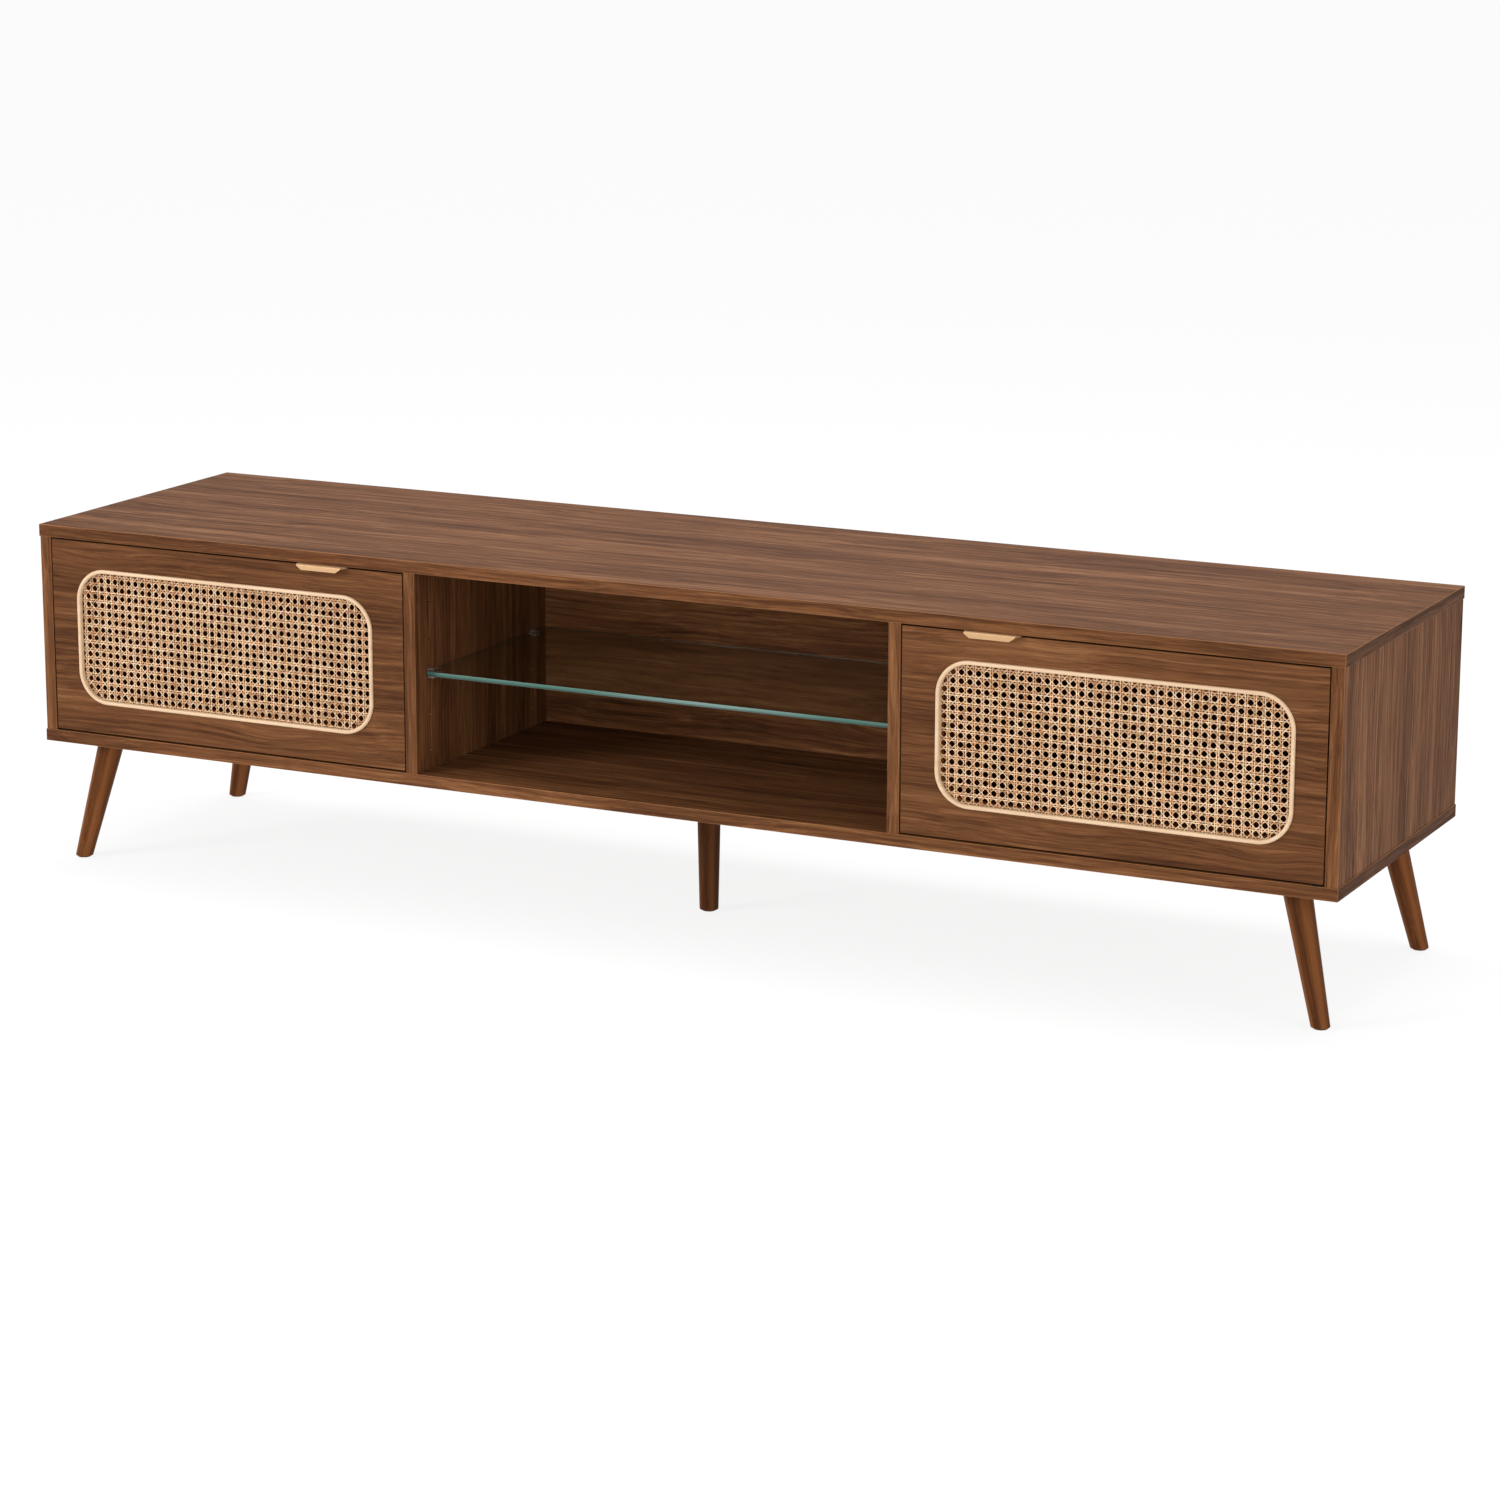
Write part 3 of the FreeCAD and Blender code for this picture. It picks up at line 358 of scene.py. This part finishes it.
def metal(name, colour, roughness, brushed=(1.0, 1.0, 1.0), scale=400.0):
    """A metal whose roughness and faint lines follow its brushing."""
    graph = Graph(name)
    lines = graph.noise(graph.vector("MULTIPLY", graph.place(), brushed), scale=scale, detail=3.0)
    tint = graph.mix(graph.span(lines, 0.35, 0.65), opaque(colour, 0.93), opaque(colour))
    shine = graph.span(lines, 0.3, 0.7, roughness * 0.85, roughness * 1.2)
    return graph.surface(tint, shine, graph.bump(lines, 0.12, 0.00004), Metallic=1.0)


def plastic(name, colour, roughness, specular=0.5):
    """A moulded plastic, or another matt coating: fine grit, and slightly uneven colour."""
    graph = Graph(name)
    grit = graph.noise(graph.place(), scale=1400.0, detail=2.0)
    cloud = graph.noise(graph.place(), scale=40.0, detail=2.0)
    tint = graph.mix(graph.span(cloud, 0.3, 0.7), opaque(colour, 0.9), opaque(colour))
    shine = graph.span(grit, 0.3, 0.7, roughness * 0.9, roughness * 1.1)
    return graph.surface(tint, shine, graph.bump(grit, 0.1, 0.00005), Specular_IOR_Level=specular)


def glass():
    """Clear float glass: its faces are colourless, and its ground edges show the green of the glass, with
    painted shade over their lower half and along their top arris.
    """
    graph = Graph("clear_glass")
    edge = graph.span(graph.facing()[2], 0.35, 0.80, 1.0, 0.0)
    place = graph.place()
    low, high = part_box("glass_shelf")
    rise = graph.span(graph.split(place)[2], low[2], high[2])
    cloud = graph.noise(graph.vector("MULTIPLY", place, (3.0, 3.0, 40.0)), detail=3.0)
    green = graph.mix(graph.span(cloud, 0.40, 0.62), rgba(58, 108, 94), rgba(112, 142, 134))
    # painted shade on the green edges: darker over their lower half and along their top arris
    painted_edge_shade = graph.ramp(rise, ((0.0, (0.22, 0.25, 0.24)), (0.30, (0.40, 0.42, 0.41)), (0.50, (1.0, 1.0, 1.0)),
                              (0.88, (1.05, 1.05, 1.05)), (1.0, (0.60, 0.62, 0.61))))
    green = graph.mix(1.0, green, painted_edge_shade, "MULTIPLY")
    colour = graph.mix(edge, rgba(240, 249, 246), green)
    smear = graph.noise(place, scale=9.0, detail=2.0)
    shine = graph.math("ADD", graph.math("MULTIPLY", smear, 0.006), graph.math("MULTIPLY", edge, 0.30))
    return graph.surface(colour, shine, Transmission_Weight=graph.span(edge, 0.0, 1.0, 1.0, 0.25), IOR=1.5)


# ---------------------------------------------------------------- the webbing

def within(x, z):
    """Whether points lie inside the webbing's rounded outline; takes two arrays about its centre."""
    across = np.maximum(np.abs(x) - (CANE_HALF_X - CANE_RADIUS), 0)
    up = np.maximum(np.abs(z) - (CANE_HALF_Z - CANE_RADIUS), 0)
    return np.hypot(across, up) <= CANE_RADIUS


def trimmed(origin, direction, step, phase):
    """Distances along a line inside the outline: its two ends, and points on a fixed phase between them."""
    reach = CANE_HALF_X + CANE_HALF_Z
    t = np.arange(-reach, reach, OUTLINE_STEP)
    inside = within(origin[0] + t * direction[0], origin[1] + t * direction[1])
    if inside.sum() < FEWEST_STEPS:
        return None
    low, high = t[inside][0], t[inside][-1]
    first = math.ceil((low + END_CLEARANCE * step - phase) / step)
    last = math.floor((high - END_CLEARANCE * step - phase) / step)
    inner = phase + step * np.arange(first, last + 1)
    return np.concatenate(([low], inner, [high]))


def webbing_strands(random, pitch_x, column_shift):
    """Each strand as its width, its places along X and Z, its heights and its direction across."""
    half_columns = int(CANE_HALF_X / pitch_x) + 1
    half_rows = int(CANE_HALF_Z / PITCH_Z) + 1
    strands = []
    step_z = PITCH_Z / SAMPLES_PER_PITCH
    step_x = pitch_x / SAMPLES_PER_PITCH
    for column in range(-half_columns, half_columns + 1):
        for sign in (-1, 1):
            x = column_shift + column * pitch_x + sign * PAIR_GAP + random.normal(0, PAIR_UNEVENNESS)
            t = trimmed((x, 0.0), (0.0, 1.0), step_z, ROW_SHIFT + step_z / 2)
            if t is not None:
                lift = -sign * PLAIN_LIFT * np.sin(2 * np.pi * (t - ROW_SHIFT) / PITCH_Z)
                strands.append((STRAND_WIDTH, np.full_like(t, x), t, lift, (1.0, 0.0)))
    for row in range(-half_rows, half_rows + 1):
        for sign in (-1, 1):
            z = ROW_SHIFT + row * PITCH_Z + sign * PAIR_GAP + random.normal(0, PAIR_UNEVENNESS)
            t = trimmed((0.0, z), (1.0, 0.0), step_x, column_shift + step_x / 2)
            if t is not None:
                lift = sign * PLAIN_LIFT * np.sin(2 * np.pi * (t - column_shift) / pitch_x)
                strands.append((STRAND_WIDTH, t, np.full_like(t, z), lift, (0.0, 1.0)))
    count = half_columns + half_rows + 2
    length = math.hypot(pitch_x, PITCH_Z)
    for slope in (1, -1):
        direction = (pitch_x / length, slope * PITCH_Z / length)
        across = (-direction[1], direction[0])
        for line in range(-count, count):
            origin = (column_shift + (line + 0.5) * pitch_x, ROW_SHIFT)
            t = trimmed(origin, direction, length / SAMPLES_PER_PITCH, 0.0)
            if t is None:
                continue
            x = origin[0] + t * direction[0]
            z = origin[1] + t * direction[1]
            lift = -slope * DIAGONAL_LIFT * np.cos(2 * np.pi * (x - column_shift) / pitch_x)
            shift = random.normal(0, DIAGONAL_UNEVENNESS)
            strands.append((DIAGONAL_WIDTH, x + across[0] * shift, z + across[1] * shift, lift, across))
    return strands


def webbing(side, sign):
    """Six-way cane: woven upright and level pairs, with diagonals through the middles of their gaps."""
    random = np.random.default_rng(40 + sign)
    low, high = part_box(f"{side}_cane_panel")
    centre = (Vector(low) + Vector(high)) / 2
    points, faces, tones = [], [], []
    count = 0
    corners = len(SECTION)
    for width, x, z, lift, across in webbing_strands(random, *LATTICE[side]):
        half_width = width * random.uniform(0.95, 1.05) / 2
        section = SECTION * (half_width, 1.0)
        rings = np.empty((len(x), corners, 3))
        rings[:, :, 0] = centre.x + x[:, None] + section[None, :, 0] * across[0]
        rings[:, :, 1] = centre.y - lift[:, None] - section[None, :, 1]
        rings[:, :, 2] = centre.z + z[:, None] + section[None, :, 0] * across[1]
        points.append(rings.reshape(-1, 3))
        tones.append(np.full(len(x) * corners, random.uniform(0, 1)))
        for ring in range(len(x) - 1):
            start = count + ring * corners
            beyond = start + corners
            for index in range(corners):
                following = (index + 1) % corners
                faces.append((start + index, start + following, beyond + following, beyond + index))
        count += len(x) * corners
    mesh = bpy.data.meshes.new(f"{side}_webbing")
    mesh.from_pydata(np.concatenate(points).tolist(), [], faces)
    mesh.polygons.foreach_set("use_smooth", [True] * len(mesh.polygons))
    mesh.attributes.new("tone", "FLOAT", "POINT").data.foreach_set("value", np.concatenate(tones))
    mesh.update()
    piece = bpy.data.objects.new(f"{side}_webbing", mesh)
    bpy.context.collection.objects.link(piece)
    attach(piece, f"{side}_door")
    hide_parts(f"{side}_cane_panel")
    return piece


# ---------------------------------------------------------------- dressing the frame

def dress(name, material):
    """Give a piece its material."""
    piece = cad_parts[name]
    if not piece.material_slots:
        piece.data.materials.append(material)
    for slot in piece.material_slots:
        slot.material = material


def leg_direction(name):
    """The way a leg's axis runs, from the middles of its lowest and highest points."""
    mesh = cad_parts[name].data
    places = np.empty(len(mesh.vertices) * 3)
    mesh.vertices.foreach_get("co", places)
    places = places.reshape(-1, 3)
    heights = places[:, 2]
    ends = [places[heights < heights.min() + 0.002], places[heights > heights.max() - 0.0005]]
    foot, top = [(points.min(axis=0) + points.max(axis=0)) / 2 for points in ends]
    return Vector(top - foot)


def deepened(tones, depth):
    return [[c * depth for c in tone] for tone in tones]


def dress_boards():
    """Veneer the boards: the level ones and the backs with the grain along X, the uprights along Z."""
    levels = ("top_panel", "bottom_panel", "left_door_panel", "right_door_panel", "centre_back_panel",
              "left_back_panel", "right_back_panel")
    uprights = ("left_side_panel", "right_side_panel", "left_divider", "right_divider")
    for seed, name in enumerate(levels, start=11):
        door = name.endswith("door_panel")
        dress(name, walnut(f"walnut_{name}", (1, 0, 0), seed, deepened(VENEER, DEPTH_AND_PAINTED_LIGHT.get(name, 1.0)),
                           KNOTS.get(name, ()), contrast=0.85 if door else 0.96, edge_highlight=0.25 if door else 0.75,
                           banded=name in ("top_panel", "bottom_panel"),
                           shaded_inside=name in ("left_back_panel", "right_back_panel")))
    for seed, name in enumerate(uprights, start=31):
        dress(name, walnut(f"walnut_{name}", (0, 0, 1), seed, VENEER, contrast=0.96))


def dress_legs():
    legs = ("front_left_leg", "front_right_leg", "rear_left_leg", "rear_right_leg", "centre_leg")
    for seed, name in enumerate(legs, start=51):
        tones = deepened(SOLID, CENTRE_LEG_PAINTED_SHADE) if name == "centre_leg" else SOLID
        dress(name, walnut(f"wood_{name}", leg_direction(name), seed, tones, contrast=0.95,
                           specular=0.035, roughness=(0.40, 0.50)))


def dress_fittings():
    brass = metal("brushed_brass", rgb(195, 160, 121), 0.60, brushed=(0.05, 1.0, 1.0), scale=2600.0)
    steel = metal("zinc_plated_steel", rgb(196, 196, 200), 0.32)
    zinc = metal("cast_zinc", rgb(184, 184, 188), 0.42, scale=900.0)
    chrome = metal("bright_nickel", rgb(222, 222, 218), 0.30, scale=60.0)
    black = plastic("black_oxide", rgb(20, 18, 17), 0.8, specular=0.08)
    magnet = metal("magnet", rgb(120, 120, 124), 0.45)
    raw = pale_wood("raw_beech", (rgb(186, 146, 104), rgb(208, 170, 126), rgb(222, 188, 146)), 71,
                    direction=(0, 0, 1))
    nylon = plastic("black_nylon", rgb(26, 23, 21), 0.7, specular=0.08)
    brown = plastic("brown_plastic", rgb(84, 58, 40), 0.5)
    finishes = {
        "cam_locks": zinc, "cam_bolts": steel, "wood_dowels": raw, "confirmat_screws": steel,
        "leg_bolts": steel, "leg_inserts": zinc, "foot_pads": nylon, "glass_shelf": glass(),
        "shelf_supports": chrome, "pivot_bushes": nylon, "left_magnetic_catch": brown,
        "right_magnetic_catch": brown, "catch_magnets": magnet, "catch_screws": steel,
    }
    for name, material in finishes.items():
        dress(name, material)
    for side, _ in SIDES:
        dress(f"{side}_handle", brass)
        dress(f"{side}_handle_screws", brass)
        dress(f"{side}_pivot_pins", black)
        for part in ("strike_plate", "strike_screw"):
            dress(f"{side}_{part}", steel)


def dress_windows():
    cane = cane_finish()
    bead = pale_wood("bead_wood", (rgb(192, 160, 127), rgb(206, 176, 143), rgb(217, 190, 160)), 61)
    for seed, (side, sign) in enumerate(SIDES, start=63):
        dress(f"{side}_cane_trim", bead)
        dress(f"{side}_cane_retainer", walnut(f"wood_{side}_cane_retainer", (1, 0, 0), seed, SOLID))
        dress(f"{side}_cane_panel", cane)
        webbing(side, sign).data.materials.append(cane)


# ---------------------------------------------------------------- studio

def camera():
    """The camera, placed and turned as it was for the photograph."""
    data = bpy.data.cameras.new("camera")
    data.sensor_width = 36.0
    data.lens = 103.22
    data.clip_start = 0.05
    data.clip_end = 200.0
    body = bpy.data.objects.new("camera", data)
    bpy.context.collection.objects.link(body)
    right = Vector((0.895845, 0.444361, 0.002041))
    down = Vector((0.105153, -0.207524, -0.972562))
    ahead = Vector((-0.431745, 0.871480, -0.232636))
    turn = Matrix((right, -down, -ahead)).transposed().to_4x4()
    body.matrix_world = Matrix.Translation((2.41219, -4.79640, 1.48580)) @ turn
    bpy.context.scene.camera = body


def floor():
    """A wide white floor that glows a little, as a lit table does, so that its shadows stay pale."""
    half = 60.0
    mesh = bpy.data.meshes.new("floor")
    corners = [(-half, -half, 0), (half, -half, 0), (half, half, 0), (-half, half, 0)]
    mesh.from_pydata(corners, [], [(0, 1, 2, 3)])
    piece = bpy.data.objects.new("floor", mesh)
    bpy.context.collection.objects.link(piece)
    graph = Graph("floor")
    graph.surface((0.16, 0.16, 0.16, 1.0), 1.0, Specular_IOR_Level=0.0,
                  Emission_Color=(1.0, 1.0, 1.0, 1.0), Emission_Strength=0.835)
    mesh.materials.append(graph.material)


def softbox(name, place, target, size, power):
    """A rectangular light of a size in metres and a power in watts, turned toward a target."""
    data = bpy.data.lights.new(name, "AREA")
    data.shape = "RECTANGLE"
    data.size, data.size_y = size
    data.energy = power
    lamp = bpy.data.objects.new(name, data)
    bpy.context.collection.objects.link(lamp)
    lamp.location = place
    lamp.rotation_euler = (Vector(target) - Vector(place)).to_track_quat("-Z", "Y").to_euler()


def lights():
    """An even white room, a little brighter behind, and soft boxes at the left, right, front and top."""
    world = bpy.data.worlds.new("studio")
    world.use_nodes = True
    tree = world.node_tree
    background = tree.nodes["Background"]
    background.inputs[0].default_value = (1.0, 1.0, 1.0, 1.0)
    toward = tree.nodes.new("ShaderNodeTexCoord")
    dot = tree.nodes.new("ShaderNodeVectorMath")
    dot.operation = "DOT_PRODUCT"
    behind = Vector((-0.43, 0.87, 0.30)).normalized()       # as the camera looks, and a little up
    dot.inputs[1].default_value = behind
    glow = tree.nodes.new("ShaderNodeMapRange")
    for socket, value in zip(glow.inputs[1:5], (0.2, 1.0, 0.74, 1.0)):
        socket.default_value = value
    tree.links.new(toward.outputs["Generated"], dot.inputs[0])
    tree.links.new(dot.outputs["Value"], glow.inputs[0])
    tree.links.new(glow.outputs[0], background.inputs[1])
    bpy.context.scene.world = world
    softbox("key", (-3.4, -3.9, 2.0), (0.0, 0.0, 0.3), (1.6, 1.2), 152.0)
    softbox("fill", (4.4, -1.6, 1.6), (0.0, 0.0, 0.3), (2.2, 1.8), 44.0)
    softbox("front", (1.6, -5.0, 0.95), (0.0, 0.0, 0.3), (2.6, 1.1), 54.0)
    softbox("top", (0.0, 0.6, 3.4), (0.0, 0.0, 0.4), (3.0, 1.6), 68.0)
    bpy.context.scene.view_settings.view_transform = "Standard"


camera()
floor()
lights()
dress_boards()
dress_legs()
dress_fittings()
dress_windows()
